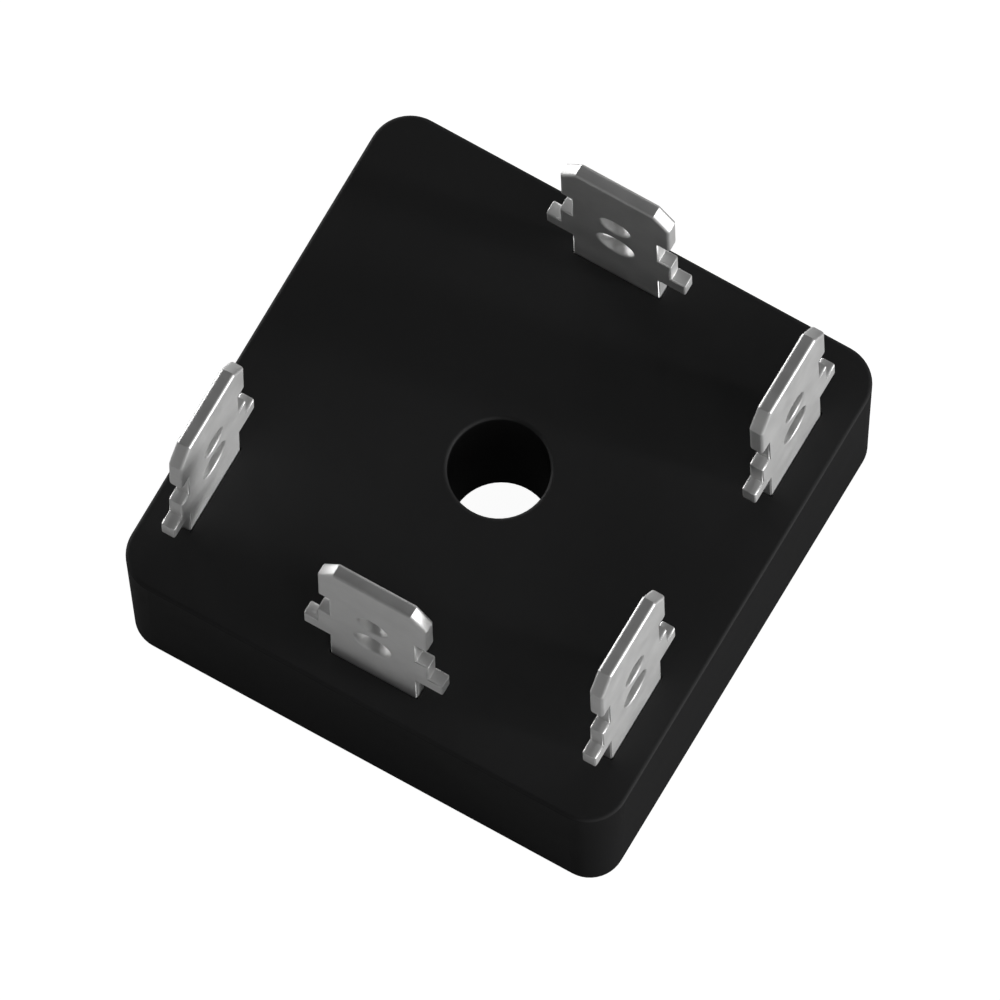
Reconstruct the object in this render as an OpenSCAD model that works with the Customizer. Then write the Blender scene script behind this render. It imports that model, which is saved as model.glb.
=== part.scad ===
/* [Case] */
// Side of the square case at its terminal face
case_side = 28.5; // [27.5:0.1:34]
// Height of the case
case_h = 10; // [9:0.1:14]
// Lean of each wall, from the terminal face in to the base
draft = 0.35; // [0.1:0.05:0.6]
// Radius of the upright corners at the base
corner_r = 1.8; // [1.2:0.1:3]
// Radius of the rounded outer edges
edge_r = 0.2; // [0.1:0.05:0.4]
// Thickness of the wall that carries the terminals
roof_t = 1.5; // [1.2:0.1:2.4]
// Width of the plastic rim around the base plate
rim_t = 0.4; // [0.3:0.05:0.6]
// Width of the ledge inside the case that the base plate seats on
ledge_w = 0.6; // [0.4:0.05:0.9]
// Corner radius of the space inside the case
cavity_r = 1.2; // [0.6:0.1:2]

/* [Mounting hole] */
// Diameter of the screw hole
bore_d = 5.2; // [4.2:0.1:5.6]
// Wall of the plastic tube around the screw hole
tube_wall = 1.2; // [0.8:0.1:1.5]
// Wall of the tube's lower end, where it lines the base plate
liner_t = 0.25; // [0.2:0.05:0.6]

/* [Base plate] */
// Thickness of the aluminium base plate
plate_t = 2; // [1.5:0.1:3]
// Length cut off each side of a base plate corner
plate_cut = 1.2; // [1:0.1:2.4]

/* [Terminals] */
// Thickness of the terminal sheet
tab_t = 0.8; // [0.5:0.05:1]
// Distance from a side terminal's middle to the near end of its side
side_inset = 6.25; // [5.5:0.05:7]
// Gap between a stem and the wall of the space inside
stem_gap = 0.35; // [0.2:0.05:0.6]
// Gap around a stem in its slot
slot_gap = 0.05; // [0.02:0.01:0.1]
// Width of the stem
stem_w = 5; // [4:0.1:5.4]
// Height of the bare stem above the case
stem_h = 2.6; // [1.5:0.1:4]
// Width over the ears
ear_w = 8; // [7:0.1:9]
// Height of the ears
ear_h = 1.2; // [0.8:0.1:2]
// Width of the shoulder over the ears
shoulder_w = 6.4; // [5.8:0.1:6.8]
// Height of the shoulder
shoulder_h = 1.8; // [1.2:0.1:2.5]
// Width between the notches under the tab
notch_w = 5; // [4.4:0.1:5.6]
// Height of the notches
notch_h = 2.5; // [1.5:0.1:3]
// Width of the tab that takes the push-on receptacle
tab_w = 6.3; // [5.8:0.1:6.5]
// Height of the tab's straight sides
tab_h = 2.85; // [2:0.05:6]
// Width of the tip
tip_w = 4.5; // [3.5:0.1:5.5]
// Height of the slanted corners of the tip
tip_h = 1.2; // [0.6:0.1:2]
// Bevel along the tip on both faces
tip_bevel = 0.13; // [0.05:0.01:0.2]
// Diameter of the lower hole
low_hole_d = 2.1; // [1.5:0.1:2.4]
// Height of the lower hole's centre above the case
low_hole_z = 4.6; // [4.2:0.1:5]
// Diameter of the upper hole
top_hole_d = 1.7; // [1.2:0.1:2]
// Height of the upper hole's centre above the case
top_hole_z = 7.3; // [7:0.1:8]
// Length of the foot inside the case, over the bend
foot_len = 2.2; // [1.8:0.1:3]
// Inner radius of the bend between stem and foot
bend_r = 0.4; // [0.2:0.1:0.6]

/* [Circuit inside] */
// Thickness of the ceramic insulator
insulator_t = 0.6; // [0.4:0.1:1]
// Gap between the insulator and the walls around it
insulator_gap = 0.2; // [0.1:0.05:0.4]
// Thickness of the copper sheet of the buses and links
copper_t = 0.5; // [0.3:0.1:0.8]
// Side of a diode chip
chip_side = 3.6; // [3:0.1:4.4]
// Thickness of a diode chip
chip_t = 0.35; // [0.25:0.05:0.5]
// Distance from a terminal's foot to the chip beside it
chip_gap = 0.7; // [0.5:0.1:1.2]
// Width of copper beyond a chip's edge
copper_edge = 0.2; // [0.1:0.05:0.4]

/* [Hidden] */
$fn = 64;
cut = 1; // how far a cutting shape runs past the face it opens
arc_steps = 4; // straight steps in each rounded outer edge

// Case: half widths at the terminal face, the base, the base plate and the space inside
top_half = case_side / 2;
base_half = top_half - draft;
corner_c = base_half - corner_r;
plate_half = base_half - rim_t;
cavity_half = plate_half - ledge_w;
insulator_half = cavity_half - insulator_gap;
roof_z = case_h - roof_t;
bore_r = bore_d / 2;
tube_r = bore_r + tube_wall;
liner_r = bore_r + liner_t;

// Levels of the stack inside, from the base plate up
insulator_z = plate_t;
positive_z = insulator_z + insulator_t;
lower_chip_z = positive_z + copper_t;
link_z = lower_chip_z + chip_t;
upper_chip_z = link_z + copper_t;
negative_z = upper_chip_z + chip_t;

// Terminals: the sheet's middle and outer face, and the levels of the outline above the case
row = cavity_half - stem_gap - tab_t / 2;
row_out = row + tab_t / 2;
side_y = top_half - side_inset;
ear_z = case_h + stem_h;
shoulder_z = ear_z + ear_h;
notch_z = shoulder_z + shoulder_h;
tab_z = notch_z + notch_h;
tip_z = tab_z + tab_h;
top_z = tip_z + tip_h;

// Places as [x, y, turn]: an unturned terminal has its outer face towards -Y
AC_PLACES = [[0, -row, 0], [row, -side_y, 90], [row, side_y, 90]];
NEGATIVE_PLACE = [0, row, 180];
POSITIVE_PLACE = [-row, -side_y, -90];
PLACES = concat(AC_PLACES, [NEGATIVE_PLACE, POSITIVE_PLACE]);

// Chips: how far in from the terminal sheet, and the copper strip that covers their row
chip_in = foot_len - tab_t / 2 + chip_gap + chip_side / 2;
pad_half = chip_side / 2 + copper_edge;
strip_in = row - chip_in - pad_half;
strip_out = row - chip_in + pad_half;

module at(place) {
    translate([place[0], place[1], 0]) rotate(place[2]) children();
}

// Square plate outline with its corners cut at 45 degrees
module cut_square(half, corner_cut) {
    short = half - corner_cut;
    polygon([[half, -short], [half, short], [short, half], [-short, half],
             [-half, short], [-half, -short], [-short, -half], [short, -half]]);
}

module round_square(half, r) {
    square([2 * half, 2 * (half - r)], center = true);
    square([2 * (half - r), 2 * half], center = true);
    for (x = [-1, 1], y = [-1, 1])
        translate([x * (half - r), y * (half - r)]) circle(r);
}

module rectangle(x0, y0, x1, y1) {
    translate([x0, y0]) square([x1 - x0, y1 - y0]);
}

// Outer edge of the case section, from the base up, measured out from the corner axis
function edge_arc(r, z, from) = [
    for (i = [0:arc_steps]) let (a = from + 90 * i / arc_steps)
        [r + edge_r * cos(a), z + edge_r * sin(a)]
];
wall_line = concat(
    edge_arc(corner_r - edge_r, edge_r, -90),
    edge_arc(corner_r + draft - edge_r, case_h - edge_r, 0)
);

module case_section() {
    right = [for (p = wall_line) [corner_c + p[0], p[1]]];
    left = [for (i = [len(wall_line) - 1:-1:0]) [-corner_c - wall_line[i][0], wall_line[i][1]]];
    polygon(concat(right, left));
}

module corner_section() {
    polygon(concat([[0, 0]], wall_line, [[0, case_h]]));
}

// Drafted square block with round corners and rounded edges
module case_block() {
    for (turn = [0, 90])
        rotate([90, 0, turn]) linear_extrude(2 * corner_c, center = true) case_section();
    for (turn = [0, 90, 180, 270])
        rotate(turn) translate([corner_c, corner_c, 0]) rotate_extrude(angle = 90) corner_section();
}

// Screw hole, with its rim rounded at the terminal face
module bore() {
    rim = [
        for (i = [0:arc_steps]) let (a = 180 - 90 * i / arc_steps)
            [bore_r + edge_r + edge_r * cos(a), case_h - edge_r + edge_r * sin(a)]
    ];
    rotate_extrude()
        polygon(concat([[0, -cut], [bore_r, -cut]], rim, [[bore_r + edge_r, case_h + cut], [0, case_h + cut]]));
}

// Space inside the case over the base plate, around the screw tube
module cavity() {
    difference() {
        translate([0, 0, plate_t]) linear_extrude(roof_z - plate_t) round_square(cavity_half, cavity_r);
        cylinder(h = case_h, r = tube_r);
    }
}

module base_plate_block() {
    difference() {
        linear_extrude(plate_t) cut_square(plate_half, plate_cut);
        translate([0, 0, -cut]) cylinder(h = plate_t + 2 * cut, r = liner_r);
    }
}

module case() {
    color([0.10, 0.10, 0.10]) difference() {
        case_block();
        base_plate_block();
        cavity();
        bore();
        for (place = PLACES)
            at(place) translate([0, 0, roof_z + roof_t / 2])
                cube([stem_w + 2 * slot_gap, tab_t + 2 * slot_gap, roof_t + 2 * cut], center = true);
    }
}

module base_plate() {
    color([0.68, 0.69, 0.70]) base_plate_block();
}

module insulator() {
    color([0.93, 0.92, 0.88]) difference() {
        translate([0, 0, insulator_z]) linear_extrude(insulator_t) cut_square(insulator_half, plate_cut);
        translate([0, 0, insulator_z - cut])
            cylinder(h = insulator_t + 2 * cut, r = tube_r + insulator_gap);
    }
}

module positive_bus() {
    low_y = -side_y - stem_w / 2;
    color([0.80, 0.47, 0.28]) translate([0, 0, positive_z]) linear_extrude(copper_t) {
        rectangle(-row_out, low_y, strip_out, -strip_in);
        rectangle(strip_in, low_y, strip_out, side_y + pad_half);
    }
}

module negative_bus() {
    color([0.80, 0.47, 0.28]) translate([0, 0, negative_z]) linear_extrude(copper_t) {
        rectangle(-pad_half, -strip_out, strip_out, -strip_in);
        rectangle(strip_in, -side_y - pad_half, strip_out, side_y + pad_half);
        rectangle(-stem_w / 2, side_y - chip_side / 2, strip_out, row_out);
    }
}

// Copper link under one AC terminal, between its two chips
module ac_link(i) {
    color([0.80, 0.47, 0.28]) at(AC_PLACES[i]) translate([0, 0, link_z]) linear_extrude(copper_t)
        rectangle(-stem_w / 2, -tab_t / 2, stem_w / 2, chip_in + pad_half);
}

module diode(i, z) {
    color([0.35, 0.37, 0.42]) at(AC_PLACES[i]) translate([-chip_side / 2, chip_in - chip_side / 2, z])
        cube([chip_side, chip_side, chip_t]);
}

// Front outline of a terminal: half of it as [half width, height], mirrored for the other half
module terminal_outline(foot_z) {
    half = [
        [stem_w / 2, foot_z], [stem_w / 2, ear_z],
        [ear_w / 2, ear_z], [ear_w / 2, shoulder_z],
        [shoulder_w / 2, shoulder_z], [shoulder_w / 2, notch_z],
        [notch_w / 2, notch_z], [notch_w / 2, tab_z],
        [tab_w / 2, tab_z], [tab_w / 2, tip_z],
        [tip_w / 2, top_z]
    ];
    other = [for (i = [len(half) - 1:-1:0]) [-half[i][0], half[i][1]]];
    polygon(concat(half, other));
}

// Side section of a terminal: beveled tip, sheet, bend and foot
module terminal_side(foot_z) {
    face = tab_t / 2;
    bend_y = face + bend_r;
    bend_z = foot_z + tab_t + bend_r;
    polygon([
        [-face, bend_z], [face, bend_z],
        [face, top_z - tip_bevel], [face - tip_bevel, top_z],
        [-face + tip_bevel, top_z], [-face, top_z - tip_bevel]
    ]);
    rectangle(bend_y, foot_z, foot_len - face, foot_z + tab_t);
    intersection() {
        translate([bend_y, bend_z]) difference() {
            circle(bend_r + tab_t);
            circle(bend_r);
        }
        rectangle(-face, foot_z, bend_y, bend_z);
    }
}

// A terminal is one folded sheet: where its front outline and its side section cross
module terminal(place, foot_z) {
    color([0.80, 0.80, 0.80]) at(place) difference() {
        intersection() {
            translate([0, foot_len, 0]) rotate([90, 0, 0])
                linear_extrude(foot_len + tab_t) terminal_outline(foot_z);
            rotate([90, 0, 90]) linear_extrude(ear_w + 2 * cut, center = true) terminal_side(foot_z);
        }
        for (hole = [[low_hole_d, low_hole_z], [top_hole_d, top_hole_z]])
            translate([0, 0, case_h + hole[1]]) rotate([90, 0, 0])
                cylinder(h = tab_t + 2 * cut, d = hole[0], center = true);
    }
}

module ac_terminal(i) {
    terminal(AC_PLACES[i], upper_chip_z);
}

module positive_terminal() {
    terminal(POSITIVE_PLACE, lower_chip_z);
}

module negative_terminal() {
    terminal(NEGATIVE_PLACE, negative_z + copper_t);
}

// Resin that fills the space around the circuit
module potting() {
    color([0.20, 0.20, 0.22]) difference() {
        cavity();
        insulator();
        positive_bus();
        negative_bus();
        for (i = [0:2]) {
            ac_link(i);
            diode(i, lower_chip_z);
            diode(i, upper_chip_z);
            ac_terminal(i);
        }
        positive_terminal();
        negative_terminal();
    }
}

case();
base_plate();
insulator();
potting();
positive_bus();
negative_bus();
ac_link(0);  // ac_link_1
ac_link(1);  // ac_link_2
ac_link(2);  // ac_link_3
diode(0, lower_chip_z);  // lower_diode_1
diode(1, lower_chip_z);  // lower_diode_2
diode(2, lower_chip_z);  // lower_diode_3
diode(0, upper_chip_z);  // upper_diode_1
diode(1, upper_chip_z);  // upper_diode_2
diode(2, upper_chip_z);  // upper_diode_3
ac_terminal(0);  // ac_terminal_1
ac_terminal(1);  // ac_terminal_2
ac_terminal(2);  // ac_terminal_3
positive_terminal();
negative_terminal();
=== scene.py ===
import math

import bmesh
import bpy
from bpy.props import FloatProperty, FloatVectorProperty, PointerProperty
from mathutils import Matrix, Vector


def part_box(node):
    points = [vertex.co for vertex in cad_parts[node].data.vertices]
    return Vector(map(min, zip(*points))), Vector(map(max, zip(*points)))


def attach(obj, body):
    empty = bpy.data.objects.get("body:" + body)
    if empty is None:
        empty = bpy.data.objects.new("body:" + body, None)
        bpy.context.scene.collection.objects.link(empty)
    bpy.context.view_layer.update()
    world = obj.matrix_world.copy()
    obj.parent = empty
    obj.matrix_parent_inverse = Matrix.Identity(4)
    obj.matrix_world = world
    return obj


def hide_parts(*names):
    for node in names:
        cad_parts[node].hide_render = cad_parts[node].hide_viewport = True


bl_info = {
    "name": "Bridge Rectifier Finish",
    "version": (1, 0, 0),
    "blender": (4, 5, 0),
    "location": "View3D > Sidebar > Rectifier",
    "description": "Blades, finishes and stage for a potted bridge rectifier module",
    "category": "Object",
}

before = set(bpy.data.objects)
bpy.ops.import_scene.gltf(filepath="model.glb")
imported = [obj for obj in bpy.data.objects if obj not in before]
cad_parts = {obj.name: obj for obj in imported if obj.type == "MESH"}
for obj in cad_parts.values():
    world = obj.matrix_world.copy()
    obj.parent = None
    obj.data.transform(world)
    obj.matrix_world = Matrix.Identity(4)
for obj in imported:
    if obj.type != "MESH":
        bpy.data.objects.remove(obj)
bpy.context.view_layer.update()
BODY = "root"
MM = 0.001
TINY = 0.001 * MM
MERGE = 0.0001 * MM

# The case's rounded edge, over which its colour changes from that of the sides to the lighter top colour:
# painted light on the top face, which also paints a faint highlight along the edge.
EDGE_BAND = 0.2 * MM

# The part of a noise's range, about its middle, over which most of its values lie.
NOISE_LOW, NOISE_HIGH = 0.3, 0.7

# Angles in radians at which the turned profile of a hole's rounded rim has its points.
RIM_ANGLES = (0, 0.35, 0.7, 1.05, 1.4)
HOLE_STEPS = 56
BEND_STEPS = 8
EDGE_SEGMENTS = 3

# Height of the point at which the lamps aim, and how far the floor lies under the part.
LAMP_AIM = 12 * MM
FLOOR_GAP = 0.02 * MM
CAMERA_DISTANCE = 300 * MM
CAMERA_REACH = (1 * MM, 10000 * MM)

# Distances in millimetres, towards the front, at which the floor's bright strip starts, is full,
# begins to fade and ends.
FRONT_STRIP = (20, 30, 38, 50)

# Each softbox: name, azimuth from +X towards +Y and elevation in degrees, then distance, width and
# height in millimetres. Its brightness is the stage setting of the same name.
SOFTBOXES = (
    ("key", 11.4, 3, 1200, 108, 96),
    ("high", -30, 45, 300, 300, 300),
    ("side", 8, 12, 300, 80, 40),
    ("rim", 155, 4, 300, 100, 40),
    ("left", 175, 6, 300, 100, 40),
    ("back", 125, 8, 300, 100, 40),
    ("front", -90, 16, 300, 200, 60),
    ("corner", -120, 8, 300, 100, 50),
)

CASE_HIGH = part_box("case")[1]
TERMINALS = ("ac_terminal_1", "ac_terminal_2", "ac_terminal_3", "positive_terminal", "negative_terminal")
COPPER = ("positive_bus", "negative_bus", "ac_link_1", "ac_link_2", "ac_link_3")
CHIPS = (
    "lower_diode_1", "lower_diode_2", "lower_diode_3",
    "upper_diode_1", "upper_diode_2", "upper_diode_3",
)


# ---------------------------------------------------------------- settings


def length(label, millimetres, about):
    return FloatProperty(
        name=label, description=about, default=millimetres * MM, min=0.0, unit="LENGTH", precision=5
    )


def share(label, value, about):
    return FloatProperty(name=label, description=about, default=value, min=0.0, max=1.0, subtype="FACTOR")


def colour(label, value, about):
    return FloatVectorProperty(
        name=label, description=about, default=value, size=3, min=0.0, max=1.0, subtype="COLOR"
    )


def angle(label, degrees, about):
    return FloatProperty(name=label, description=about, default=math.radians(degrees), subtype="ANGLE")


def brightness(label, value, about):
    return FloatProperty(name=label, description=about, default=value, min=0.0)


class RectifierBladeSettings(bpy.types.PropertyGroup):
    sheet: length("Sheet", 0.8, "Thickness of the punched sheet")
    stem_w: length("Stem width", 5.0, "Width where the blade leaves the case")
    stem_h: length("Stem height", 2.6, "Height of the bare stem over the case")
    ear_w: length("Ear width", 8.0, "Width over the ears")
    ear_h: length("Ear height", 1.2, "Height of the ears")
    shoulder_w: length("Shoulder width", 6.4, "Width of the shoulder over the ears")
    shoulder_h: length("Shoulder height", 1.8, "Height of the shoulder")
    notch_w: length("Notch width", 5.0, "Width between the notches under the tab")
    notch_h: length("Notch height", 2.5, "Height of the notches")
    tab_w: length("Tab width", 6.3, "Width of the tab that takes the receptacle")
    tab_h: length("Tab height", 2.85, "Height of the tab's straight sides")
    tip_w: length("Tip width", 4.5, "Width of the tip")
    low_hole_r: length("Lower hole radius", 1.05, "Radius of the lower hole")
    low_hole_z: length("Lower hole height", 4.6, "Height of the lower hole over the case")
    top_hole_r: length("Upper hole radius", 0.85, "Radius of the upper hole")
    top_hole_z: length("Upper hole height", 7.3, "Height of the upper hole over the case")
    foot_bend: length("Foot bend", 0.4, "Inner radius of the bend above the foot")
    tab_round: length("Tab round", 0.18, "Radius of the edges round the tab's two faces")
    stem_round: length("Stem round", 0.11, "Radius of the edges round the faces below the tab")
    corner_round: length("Corner round", 0.03, "Radius of the punched outline's corners")
    rim_round: length("Rim round", 0.1, "Radius of the holes' rounded rims")
    tin: colour("Tin", (0.80, 0.80, 0.795), "Colour of the tin plating")
    roughness: share("Roughness", 0.6, "Roughness of the tin plating")


class RectifierCaseSettings(bpy.types.PropertyGroup):
    plastic: colour("Plastic", (0.0125, 0.0125, 0.0128), "Colour of the case plastic's sides")
    # Painted light: the top face round the terminals is coloured lighter than the sides, for the light that
    # falls on it from above.
    painted_light_top: colour("Painted_light_top plastic", (0.037, 0.037, 0.0375), "Colour of the matt face round the terminals")
    roughness: share("Roughness", 0.5, "Roughness of the case plastic")
    gloss: share("Gloss", 0.045, "Strength of the case plastic's reflections")
    grain: length("Grain", 0.12, "Size of the moulded surface grain")
    aluminium: colour("Aluminium", (0.62, 0.63, 0.64), "Colour of the base plate")


class RectifierInsideSettings(bpy.types.PropertyGroup):
    copper: colour("Copper", (0.72, 0.36, 0.20), "Colour of the buses and links")
    ceramic: colour("Ceramic", (0.85, 0.83, 0.78), "Colour of the insulator")
    silicon: colour("Silicon", (0.10, 0.11, 0.14), "Colour of the diode chips")
    resin: colour("Resin", (0.03, 0.03, 0.035), "Colour of the potting resin")


class RectifierStageSettings(bpy.types.PropertyGroup):
    azimuth: angle("Azimuth", 31.894, "Camera's turn from the front towards the right")
    elevation: angle("Elevation", 71.43, "Camera's height over the horizon")
    roll: angle("Roll", -2.045, "Camera's turn about its line of sight")
    span: length("Span", 50.0, "Width that the camera takes in")
    aim: FloatVectorProperty(
        name="Aim", description="Point in the middle of the view", default=(0.00053, -0.00086, 0.008), size=3,
        subtype="TRANSLATION",
    )
    floor: FloatProperty(name="Floor", description="Half the side of the floor", default=1.5, unit="LENGTH")
    key: brightness("Key", 305, "Low light from the right")
    high: brightness("High", 0.55, "Wide light from above, towards the front right")
    side: brightness("Side", 7, "Second light from the right")
    rim: brightness("Rim", 33.8, "Low light from the left, towards the back")
    left: brightness("Left", 12.5, "Low light from the left")
    back: brightness("Back", 10.1, "Light from behind, towards the left")
    front: brightness("Front", 0.6, "Light from the front")
    corner: brightness("Corner", 1.08, "Light from the front, towards the left")
    sky: brightness("Sky", 0.03, "Even light from the room around the lights")
    floor_grey: share("Floor grey", 0.42, "How light the floor's own colour is")
    glow: share("Glow", 0.96, "How much of the floor's white the camera sees of itself")
    mirror: share("Mirror", 0.035, "How much of the floor's and backdrop's white shows in reflections")
    front_mirror: share("Front mirror", 0.4, "The same, for a strip of the floor in front of the part")


# ---------------------------------------------------------------- materials


class Finish:
    """A node material under construction, with short calls for the nodes that the finishes share."""

    def __init__(self, name):
        self.material = bpy.data.materials.new(name)
        self.material.use_nodes = True
        self.tree = self.material.node_tree
        self.tree.nodes.clear()
        self.shader = self.tree.nodes.new("ShaderNodeBsdfPrincipled")
        self.output = self.tree.nodes.new("ShaderNodeOutputMaterial")
        self.link(self.shader.outputs["BSDF"], self.output.inputs["Surface"])
        self.place = self.tree.nodes.new("ShaderNodeTexCoord").outputs["Object"]

    def link(self, source, target):
        self.tree.links.new(source, target)

    def stretch(self, scale):
        """Object coordinates with each axis scaled, for grain that runs one way."""
        node = self.tree.nodes.new("ShaderNodeMapping")
        self.link(self.place, node.inputs["Vector"])
        node.inputs["Scale"].default_value = scale
        return node.outputs["Vector"]

    def noise(self, grain, detail=2.0, rough=0.5, vector=None):
        """Cloudy noise with features of about the given size, from 0 to 1."""
        node = self.tree.nodes.new("ShaderNodeTexNoise")
        self.link(vector or self.place, node.inputs["Vector"])
        node.inputs["Scale"].default_value = 1.0 / grain
        node.inputs["Detail"].default_value = detail
        node.inputs["Roughness"].default_value = rough
        return node.outputs["Fac"]

    def spread(self, value, low, high):
        """Maps the middle part of a noise to the range low to high."""
        node = self.tree.nodes.new("ShaderNodeMapRange")
        self.link(value, node.inputs["Value"])
        node.inputs["From Min"].default_value = NOISE_LOW
        node.inputs["From Max"].default_value = NOISE_HIGH
        node.inputs["To Min"].default_value = low
        node.inputs["To Max"].default_value = high
        return node.outputs["Result"]

    def tint(self, value, dark, light):
        """Colour between dark and light by a noise."""
        node = self.tree.nodes.new("ShaderNodeValToRGB")
        self.link(value, node.inputs["Fac"])
        first, last = node.color_ramp.elements
        first.position, last.position = NOISE_LOW, NOISE_HIGH
        first.color, last.color = (*dark, 1.0), (*light, 1.0)
        return node.outputs["Color"]

    def height(self, low, high):
        """From 0 below one level of the part to 1 above another."""
        split = self.tree.nodes.new("ShaderNodeSeparateXYZ")
        self.link(self.place, split.inputs["Vector"])
        node = self.tree.nodes.new("ShaderNodeMapRange")
        self.link(split.outputs["Z"], node.inputs["Value"])
        node.inputs["From Min"].default_value = low
        node.inputs["From Max"].default_value = high
        return node.outputs["Result"]

    def blend(self, share_of_second, first, second):
        """Mixes two colours."""
        node = self.tree.nodes.new("ShaderNodeMix")
        node.data_type = "RGBA"
        self.link(share_of_second, node.inputs["Factor"])
        self.link(first, node.inputs["A"])
        self.link(second, node.inputs["B"])
        return node.outputs["Result"]

    def bump(self, height, depth, strength):
        """Surface relief of the given depth."""
        node = self.tree.nodes.new("ShaderNodeBump")
        self.link(height, node.inputs["Height"])
        node.inputs["Distance"].default_value = depth
        node.inputs["Strength"].default_value = strength
        return node.outputs["Normal"]

    def feed(self, socket, source):
        """Gives one of the shader's sockets the output of a node."""
        self.link(source, self.shader.inputs[socket])

    def set(self, **values):
        """Sets the shader's sockets that are the same all over. An underscore stands for a space."""
        for socket, value in values.items():
            self.shader.inputs[socket.replace("_", " ")].default_value = value


def scaled(rgb, factor):
    """A darker or lighter shade of a colour."""
    return tuple(min(1.0, channel * factor) for channel in rgb)


def case_plastic(settings):
    finish = Finish("case_plastic")
    cloud = finish.noise(6 * MM, detail=3.0)
    sides = finish.tint(cloud, scaled(settings.plastic, 0.93), scaled(settings.plastic, 1.07))
    # Painted light: a lighter copy of the plastic on the top face and its rounded edge, for light from above
    # and a highlight along the edge.
    face = finish.tint(cloud, scaled(settings.painted_light_top, 0.96), scaled(settings.painted_light_top, 1.04))
    painted_light_mask = finish.height(CASE_HIGH.z - EDGE_BAND, CASE_HIGH.z - EDGE_BAND / 2)
    finish.feed("Base Color", finish.blend(painted_light_mask, sides, face))
    finish.feed("Roughness", finish.spread(cloud, settings.roughness - 0.03, settings.roughness + 0.03))
    grain = finish.noise(settings.grain, detail=2.0, rough=0.6)
    finish.feed("Normal", finish.bump(grain, 0.004 * MM, 0.6))
    finish.set(Metallic=0.0, IOR=1.5, Specular_IOR_Level=settings.gloss)
    return finish.material


def tin_plate(settings):
    finish = Finish("tinned_metal")
    cloud = finish.noise(1.6 * MM, detail=4.0, rough=0.6)
    finish.feed("Base Color", finish.tint(cloud, scaled(settings.tin, 0.96), scaled(settings.tin, 1.04)))
    finish.feed("Roughness", finish.spread(cloud, settings.roughness - 0.03, settings.roughness + 0.03))
    rolled = finish.noise(0.08 * MM, detail=3.0, vector=finish.stretch((1.0, 1.0, 0.06)))
    finish.feed("Normal", finish.bump(rolled, 0.003 * MM, 0.5))
    finish.set(Metallic=1.0)
    return finish.material


def bare_aluminium(settings):
    finish = Finish("base_metal")
    brushed = finish.noise(0.06 * MM, detail=4.0, vector=finish.stretch((0.03, 1.0, 1.0)))
    finish.feed(
        "Base Color", finish.tint(brushed, scaled(settings.aluminium, 0.95), scaled(settings.aluminium, 1.04))
    )
    finish.feed("Roughness", finish.spread(finish.noise(4 * MM), 0.34, 0.40))
    finish.feed("Normal", finish.bump(brushed, 0.004 * MM, 0.5))
    finish.set(Metallic=1.0)
    return finish.material


def sheet_copper(settings):
    finish = Finish("copper")
    cloud = finish.noise(2 * MM, detail=4.0)
    finish.feed("Base Color", finish.tint(cloud, scaled(settings.copper, 0.85), scaled(settings.copper, 1.1)))
    finish.feed("Roughness", finish.spread(cloud, 0.28, 0.4))
    finish.set(Metallic=1.0)
    return finish.material


def alumina(settings):
    finish = Finish("ceramic")
    grain = finish.noise(0.15 * MM, detail=3.0)
    finish.feed(
        "Base Color", finish.tint(grain, scaled(settings.ceramic, 0.95), scaled(settings.ceramic, 1.03))
    )
    finish.feed("Normal", finish.bump(grain, 0.004 * MM, 0.5))
    finish.set(Roughness=0.55)
    return finish.material


def polished_silicon(settings):
    finish = Finish("silicon")
    cloud = finish.noise(0.8 * MM)
    finish.feed(
        "Base Color", finish.tint(cloud, scaled(settings.silicon, 0.9), scaled(settings.silicon, 1.1))
    )
    finish.set(Roughness=0.2, Metallic=0.3)
    return finish.material


def potting_resin(settings):
    finish = Finish("resin")
    cloud = finish.noise(1.0 * MM, detail=5.0)
    finish.feed("Base Color", finish.tint(cloud, scaled(settings.resin, 0.8), scaled(settings.resin, 1.3)))
    finish.feed("Normal", finish.bump(cloud, 0.02 * MM, 0.5))
    finish.set(Roughness=0.5)
    return finish.material


def dress(node, material):
    """Gives a CAD node's object a finish. Its mesh stays as it is."""
    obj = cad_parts[node]
    if not obj.material_slots:
        obj.data.materials.append(material)
    for slot in obj.material_slots:
        slot.material = material


# ---------------------------------------------------------------- blades


def link_piece(name, data):
    """New object at the origin that shows a mesh, a light or a camera."""
    obj = bpy.data.objects.new(name, data)
    bpy.context.scene.collection.objects.link(obj)
    return obj


def blade_turn(node):
    """Turn about +Z that brings an unturned blade, with its outer face towards -Y, to a node's place."""
    low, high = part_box(node)
    middle = (low + high) / 2
    if high.x - low.x > high.y - low.y:
        return 0.0 if middle.y < 0 else math.pi
    return math.pi / 2 if middle.x > 0 else -math.pi / 2


def outline_half(settings, bottom):
    """One side of the blade's front outline, from the bend up to the tip, as (half width, height)."""
    s = settings
    ear = CASE_HIGH.z + s.stem_h
    shoulder = ear + s.ear_h
    notch = shoulder + s.shoulder_h
    tab = notch + s.notch_h
    tip = tab + s.tab_h
    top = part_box(TERMINALS[0])[1].z
    return [
        (s.stem_w / 2, bottom), (s.stem_w / 2, ear), (s.ear_w / 2, ear), (s.ear_w / 2, shoulder),
        (s.shoulder_w / 2, shoulder), (s.shoulder_w / 2, notch), (s.notch_w / 2, notch),
        (s.notch_w / 2, tab), (s.tab_w / 2, tab), (s.tab_w / 2, tip), (s.tip_w / 2, top),
    ]


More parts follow.
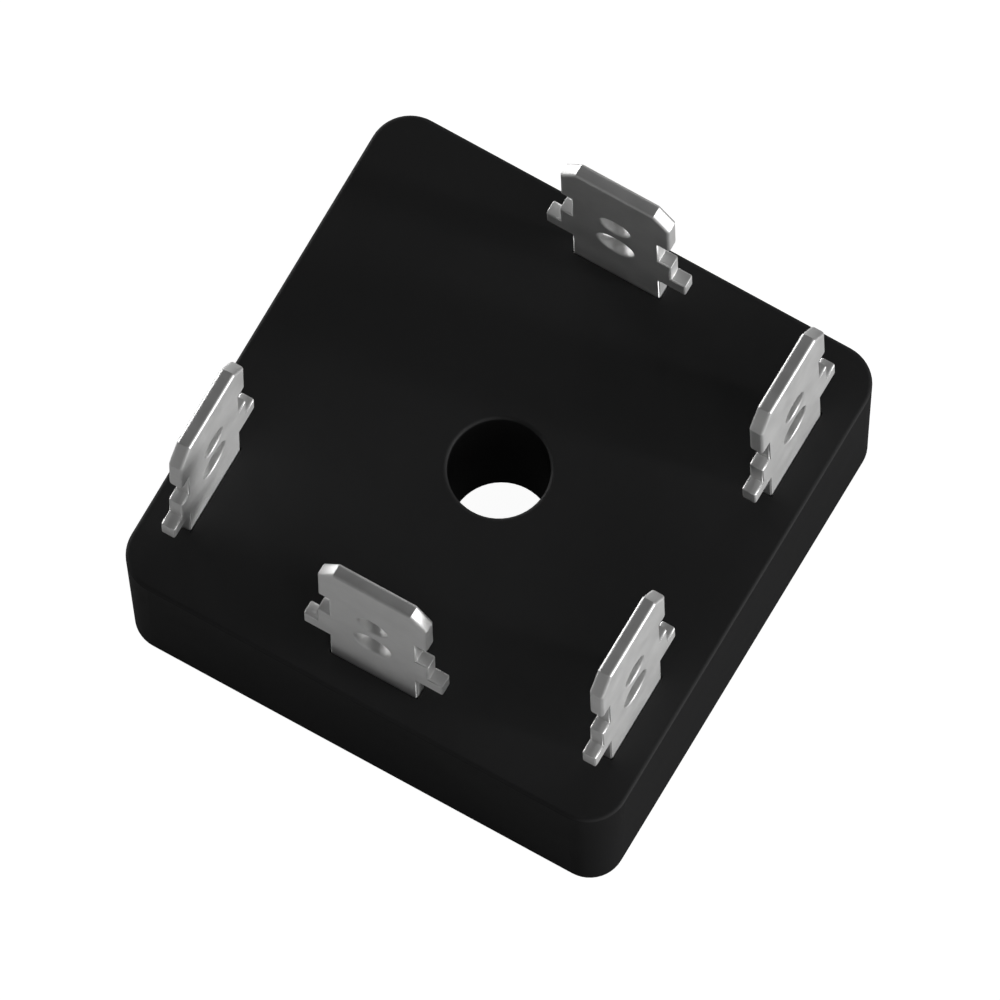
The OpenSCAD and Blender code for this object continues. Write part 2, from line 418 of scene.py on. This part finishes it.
def punch(settings, radius, height):
    """Turned cutter through the sheet for one hole, flared at both faces for the hole's rounded rims."""
    half_sheet = settings.sheet / 2
    rim = settings.rim_round
    corner = Vector((radius + rim, half_sheet - rim))
    flare = [corner + rim * Vector((-math.cos(a), math.sin(a))) for a in RIM_ANGLES]
    flare.append(Vector((radius + 1.5 * rim, half_sheet + rim / 2)))
    flare.append(Vector((radius + 1.5 * rim, settings.sheet)))
    profile = [Vector((0, -settings.sheet))]
    profile += [Vector((side.x, -side.y)) for side in reversed(flare)]
    profile += flare
    profile.append(Vector((0, settings.sheet)))
    level = CASE_HIGH.z + height
    work = bmesh.new()
    points = [work.verts.new((reach, depth, level)) for reach, depth in profile]
    edges = [work.edges.new(pair) for pair in zip(points, points[1:])]
    bmesh.ops.spin(
        work, geom=points + edges, cent=(0, 0, level), axis=(0, 1, 0), dvec=(0, 0, 0), angle=2 * math.pi,
        steps=HOLE_STEPS, use_merge=True, use_duplicate=False,
    )
    bmesh.ops.remove_doubles(work, verts=work.verts, dist=MERGE / 10)
    bmesh.ops.recalc_face_normals(work, faces=work.faces)
    mesh = bpy.data.meshes.new("punch")
    work.to_mesh(mesh)
    work.free()
    return link_piece("punch", mesh)


def blade_sheet(node, settings):
    """The folded sheet of one blade, standing over the origin with its outer face towards -Y."""
    half_sheet = settings.sheet / 2
    bend_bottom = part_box(node)[0].z + settings.sheet + settings.foot_bend
    right = outline_half(settings, bend_bottom)
    work = bmesh.new()
    outline = [work.verts.new((x, -half_sheet, z)) for x, z in right]
    outline += [work.verts.new((-x, -half_sheet, z)) for x, z in reversed(right)]
    front = work.faces.new(outline)
    made = bmesh.ops.extrude_face_region(work, geom=[front])["geom"]
    back = [item for item in made if isinstance(item, bmesh.types.BMVert)]
    bmesh.ops.translate(work, vec=(0, settings.sheet, 0), verts=back)
    bmesh.ops.recalc_face_normals(work, faces=work.faces)
    mark_edges(work, settings, bend_bottom)
    fold_foot(work, settings, bend_bottom, blade_depth(node))
    for face in work.faces:
        face.smooth = True
    mesh = bpy.data.meshes.new(node + "_blade")
    work.to_mesh(mesh)
    work.free()
    return link_piece(node + "_blade", mesh)


def blade_depth(node):
    """How far a node's sheet and foot reach across the sheet."""
    low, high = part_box(node)
    return min(high.x - low.x, high.y - low.y)


def blade(node, settings, material):
    """One punched and folded sheet, with its foot, its holes and its rounded edges."""
    obj = blade_sheet(node, settings)
    edge = obj.modifiers.new("edge", "BEVEL")
    edge.width = settings.tab_round
    edge.segments = EDGE_SEGMENTS
    edge.limit_method = "WEIGHT"
    edge.use_clamp_overlap = False
    cutters = [
        punch(settings, settings.low_hole_r, settings.low_hole_z),
        punch(settings, settings.top_hole_r, settings.top_hole_z),
    ]
    for cutter in cutters:
        hole = obj.modifiers.new("hole", "BOOLEAN")
        hole.operation = "DIFFERENCE"
        hole.solver = "EXACT"
        hole.object = cutter
    even = obj.modifiers.new("even", "WEIGHTED_NORMAL")
    even.mode = "FACE_AREA"
    even.weight = 90
    freeze(obj)
    for cutter in cutters:
        bpy.data.objects.remove(cutter)
    low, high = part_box(node)
    turn = Matrix.Rotation(blade_turn(node), 4, "Z")
    outward = turn @ Vector((0, -1, 0))
    middle = Vector(((low.x + high.x) / 2, (low.y + high.y) / 2, 0))
    sheet_middle = middle + outward * (blade_depth(node) - settings.sheet) / 2
    obj.data.transform(Matrix.Translation(sheet_middle) @ turn)
    obj.data.materials.clear()
    obj.data.materials.append(material)
    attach(obj, BODY)
    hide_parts(node)
    return obj


def mark_edges(work, settings, bend_bottom):
    """Weights the edges round the sheet's two faces for their rounding, and its punched corners slightly."""
    weight = work.edges.layers.float.new("bevel_weight_edge")
    below_tab = settings.stem_h + settings.ear_h + settings.shoulder_h + settings.notch_h
    tab_bottom = CASE_HIGH.z + below_tab
    for edge in work.edges:
        lowest = min(vert.co.z for vert in edge.verts)
        along = edge.verts[0].co - edge.verts[1].co
        if lowest < bend_bottom + settings.sheet / 2 and abs(along.z) < settings.sheet:
            continue
        if abs(along.y) > settings.sheet / 2:
            radius = settings.corner_round
        elif lowest > tab_bottom - TINY:
            radius = settings.tab_round
        else:
            radius = settings.stem_round
        edge[weight] = radius / settings.tab_round


def fold_foot(work, settings, bend_bottom, depth):
    """Turns the sheet's lower end inwards about the bend, and draws out the foot."""
    end = [
        face for face in work.faces
        if face.normal.z < -0.99 and abs(face.calc_center_median().z - bend_bottom) < MERGE
    ]
    bend_centre = Vector((0, settings.sheet / 2 + settings.foot_bend, bend_bottom))
    spun = bmesh.ops.spin(
        work, geom=end, cent=bend_centre, axis=(1, 0, 0), dvec=(0, 0, 0), angle=math.pi / 2, steps=BEND_STEPS,
        use_merge=False, use_duplicate=False,
    )["geom_last"]
    last = [item for item in spun if isinstance(item, bmesh.types.BMFace)]
    drawn = bmesh.ops.extrude_face_region(work, geom=last)["geom"]
    foot = depth - settings.sheet - settings.foot_bend
    toe = [item for item in drawn if isinstance(item, bmesh.types.BMVert)]
    bmesh.ops.translate(work, vec=(0, foot, 0), verts=toe)
    bmesh.ops.delete(work, geom=end + last, context="FACES_ONLY")
    bmesh.ops.remove_doubles(work, verts=work.verts, dist=MERGE)
    bmesh.ops.recalc_face_normals(work, faces=work.faces)


def freeze(obj):
    """Applies an object's modifiers to its mesh."""
    graph = bpy.context.evaluated_depsgraph_get()
    finished = bpy.data.meshes.new_from_object(
        obj.evaluated_get(graph), preserve_all_data_layers=True, depsgraph=graph
    )
    rough = obj.data
    obj.modifiers.clear()
    obj.data = finished
    finished.name = rough.name
    bpy.data.meshes.remove(rough)


# ---------------------------------------------------------------- operators


class RECTIFIER_OT_blades(bpy.types.Operator):
    """Make the five terminal blades with rounded edges"""

    bl_idname = "rectifier.blades"
    bl_label = "Blades"

    def execute(self, context):
        settings = context.scene.rectifier_blade
        material = tin_plate(settings)
        for node in TERMINALS:
            blade(node, settings, material)
        return {"FINISHED"}


class RECTIFIER_OT_case(bpy.types.Operator):
    """Finish the case and the base plate"""

    bl_idname = "rectifier.case"
    bl_label = "Case and base plate"

    def execute(self, context):
        settings = context.scene.rectifier_case
        dress("case", case_plastic(settings))
        dress("base_plate", bare_aluminium(settings))
        return {"FINISHED"}


class RECTIFIER_OT_inside(bpy.types.Operator):
    """Finish the circuit inside the case"""

    bl_idname = "rectifier.inside"
    bl_label = "Circuit inside"

    def execute(self, context):
        settings = context.scene.rectifier_inside
        copper = sheet_copper(settings)
        silicon = polished_silicon(settings)
        for node in COPPER:
            dress(node, copper)
        for node in CHIPS:
            dress(node, silicon)
        dress("insulator", alumina(settings))
        dress("potting", potting_resin(settings))
        return {"FINISHED"}


def camera_axes(settings):
    """Right, up and back directions of the camera."""
    az, el, roll = settings.azimuth, settings.elevation, settings.roll
    right = Vector((math.cos(az), math.sin(az), 0))
    back = Vector((math.sin(az) * math.cos(el), -math.cos(az) * math.cos(el), math.sin(el)))
    up = back.cross(right)
    return (
        right * math.cos(roll) + up * math.sin(roll),
        up * math.cos(roll) - right * math.sin(roll),
        back,
    )


def add_camera(settings):
    right, up, back = camera_axes(settings)
    camera = bpy.data.cameras.new("camera")
    camera.type = "ORTHO"
    camera.ortho_scale = settings.span
    camera.clip_start, camera.clip_end = CAMERA_REACH
    obj = link_piece("camera", camera)
    turned = Matrix((right, up, back)).transposed().to_4x4()
    obj.matrix_world = Matrix.Translation(Vector(settings.aim) + back * CAMERA_DISTANCE) @ turned
    bpy.context.scene.camera = obj


def add_softbox(name, azimuth, elevation, distance, width, height, radiance):
    """Rectangular light of the given radiance, aimed at the middle of the part."""
    lamp = bpy.data.lights.new(name, "AREA")
    lamp.shape = "RECTANGLE"
    lamp.size, lamp.size_y = width * MM, height * MM
    lamp.energy = radiance * math.pi * lamp.size * lamp.size_y
    obj = link_piece(name, lamp)
    turn, rise = math.radians(azimuth), math.radians(elevation)
    away = Vector((math.cos(turn) * math.cos(rise), math.sin(turn) * math.cos(rise), math.sin(rise)))
    obj.location = Vector((0, 0, LAMP_AIM)) + away * distance * MM
    obj.rotation_mode = "QUATERNION"
    obj.rotation_quaternion = (-away).to_track_quat("-Z", "Y")


def seen_white(tree, mirror):
    """How white the floor or backdrop looks by itself.

    It is fully white to the camera and through glass, and less so in reflections.
    """
    path = tree.nodes.new("ShaderNodeLightPath")
    plain = tree.nodes.new("ShaderNodeMath")
    plain.operation = "MAXIMUM"
    tree.links.new(path.outputs["Is Camera Ray"], plain.inputs[0])
    tree.links.new(path.outputs["Is Transmission Ray"], plain.inputs[1])
    mirrored = tree.nodes.new("ShaderNodeMath")
    mirrored.operation = "MULTIPLY"
    tree.links.new(path.outputs["Is Glossy Ray"], mirrored.inputs[0])
    if isinstance(mirror, float):
        mirrored.inputs[1].default_value = mirror
    else:
        tree.links.new(mirror, mirrored.inputs[1])
    brighter = tree.nodes.new("ShaderNodeMath")
    brighter.operation = "MAXIMUM"
    tree.links.new(plain.outputs[0], brighter.inputs[0])
    tree.links.new(mirrored.outputs[0], brighter.inputs[1])
    return brighter.outputs[0]


def floor_mirror(tree, settings):
    """The floor's share of white in reflections, which is higher in a strip in front of the part."""
    place = tree.nodes.new("ShaderNodeTexCoord")
    split = tree.nodes.new("ShaderNodeSeparateXYZ")
    tree.links.new(place.outputs["Object"], split.inputs["Vector"])
    ahead = tree.nodes.new("ShaderNodeMath")
    ahead.operation = "MULTIPLY"
    ahead.inputs[1].default_value = -1 / (FRONT_STRIP[-1] * MM)
    tree.links.new(split.outputs["Y"], ahead.inputs[0])
    ramp = tree.nodes.new("ShaderNodeValToRGB")
    tree.links.new(ahead.outputs[0], ramp.inputs["Fac"])
    stops = ramp.color_ramp.elements
    while len(stops) < len(FRONT_STRIP):
        stops.new(0.5)
    levels = (settings.mirror, settings.front_mirror, settings.front_mirror, settings.mirror)
    for stop, distance, level in zip(stops, FRONT_STRIP, levels):
        stop.position = distance / FRONT_STRIP[-1]
        stop.color = (level, level, level, 1)
    return ramp.outputs["Color"]


def add_floor(settings):
    """White floor that keeps the part's soft shadow."""
    mesh = bpy.data.meshes.new("floor")
    work = bmesh.new()
    bmesh.ops.create_grid(work, x_segments=1, y_segments=1, size=settings.floor)
    work.to_mesh(mesh)
    work.free()
    mesh.transform(Matrix.Translation((0, 0, -FLOOR_GAP)))
    floor = link_piece("floor", mesh)
    material = bpy.data.materials.new("floor")
    material.use_nodes = True
    tree = material.node_tree
    tree.nodes.clear()
    output = tree.nodes.new("ShaderNodeOutputMaterial")
    paint = tree.nodes.new("ShaderNodeBsdfDiffuse")
    paint.inputs["Color"].default_value = (*[settings.floor_grey] * 3, 1)
    glow = tree.nodes.new("ShaderNodeEmission")
    level = tree.nodes.new("ShaderNodeMath")
    level.operation = "MULTIPLY"
    level.inputs[1].default_value = settings.glow
    tree.links.new(seen_white(tree, floor_mirror(tree, settings)), level.inputs[0])
    tree.links.new(level.outputs[0], glow.inputs["Strength"])
    both = tree.nodes.new("ShaderNodeAddShader")
    tree.links.new(paint.outputs[0], both.inputs[0])
    tree.links.new(glow.outputs[0], both.inputs[1])
    tree.links.new(both.outputs[0], output.inputs["Surface"])
    mesh.materials.append(material)


def add_world(settings):
    """Dim even room light, with a white backdrop for the camera."""
    world = bpy.data.worlds.new("studio")
    bpy.context.scene.world = world
    world.use_nodes = True
    tree = world.node_tree
    tree.nodes.clear()
    output = tree.nodes.new("ShaderNodeOutputWorld")
    room = tree.nodes.new("ShaderNodeBackground")
    room.inputs["Color"].default_value = (1, 1, 1, 1)
    level = tree.nodes.new("ShaderNodeMath")
    level.operation = "MAXIMUM"
    level.inputs[1].default_value = settings.sky
    tree.links.new(seen_white(tree, settings.mirror), level.inputs[0])
    tree.links.new(level.outputs[0], room.inputs["Strength"])
    tree.links.new(room.outputs[0], output.inputs["Surface"])


class RECTIFIER_OT_stage(bpy.types.Operator):
    """Set up the floor, the studio light and the camera"""

    bl_idname = "rectifier.stage"
    bl_label = "Stage"

    def execute(self, context):
        settings = context.scene.rectifier_stage
        add_camera(settings)
        add_floor(settings)
        add_world(settings)
        for lamp in SOFTBOXES:
            add_softbox(*lamp, getattr(settings, lamp[0]))
        context.scene.view_settings.view_transform = "Standard"
        return {"FINISHED"}


class RECTIFIER_PT_panel(bpy.types.Panel):
    """Buttons that finish the rectifier, in order"""

    bl_label = "Bridge Rectifier"
    bl_idname = "RECTIFIER_PT_panel"
    bl_space_type = "VIEW_3D"
    bl_region_type = "UI"
    bl_category = "Rectifier"

    def draw(self, context):
        for operator in STEPS:
            self.layout.operator(operator.bl_idname)


STEPS = (RECTIFIER_OT_case, RECTIFIER_OT_inside, RECTIFIER_OT_blades, RECTIFIER_OT_stage)
SETTINGS = {
    "rectifier_blade": RectifierBladeSettings,
    "rectifier_case": RectifierCaseSettings,
    "rectifier_inside": RectifierInsideSettings,
    "rectifier_stage": RectifierStageSettings,
}
CLASSES = (*SETTINGS.values(), *STEPS, RECTIFIER_PT_panel)


def register():
    for cls in CLASSES:
        bpy.utils.register_class(cls)
    for name, group in SETTINGS.items():
        setattr(bpy.types.Scene, name, PointerProperty(type=group))


def unregister():
    for name in SETTINGS:
        delattr(bpy.types.Scene, name)
    for cls in reversed(CLASSES):
        bpy.utils.unregister_class(cls)


def main():
    register()
    bpy.ops.rectifier.case()
    bpy.ops.rectifier.inside()
    bpy.ops.rectifier.blades()
    bpy.ops.rectifier.stage()


if __name__ == "__main__":
    main()
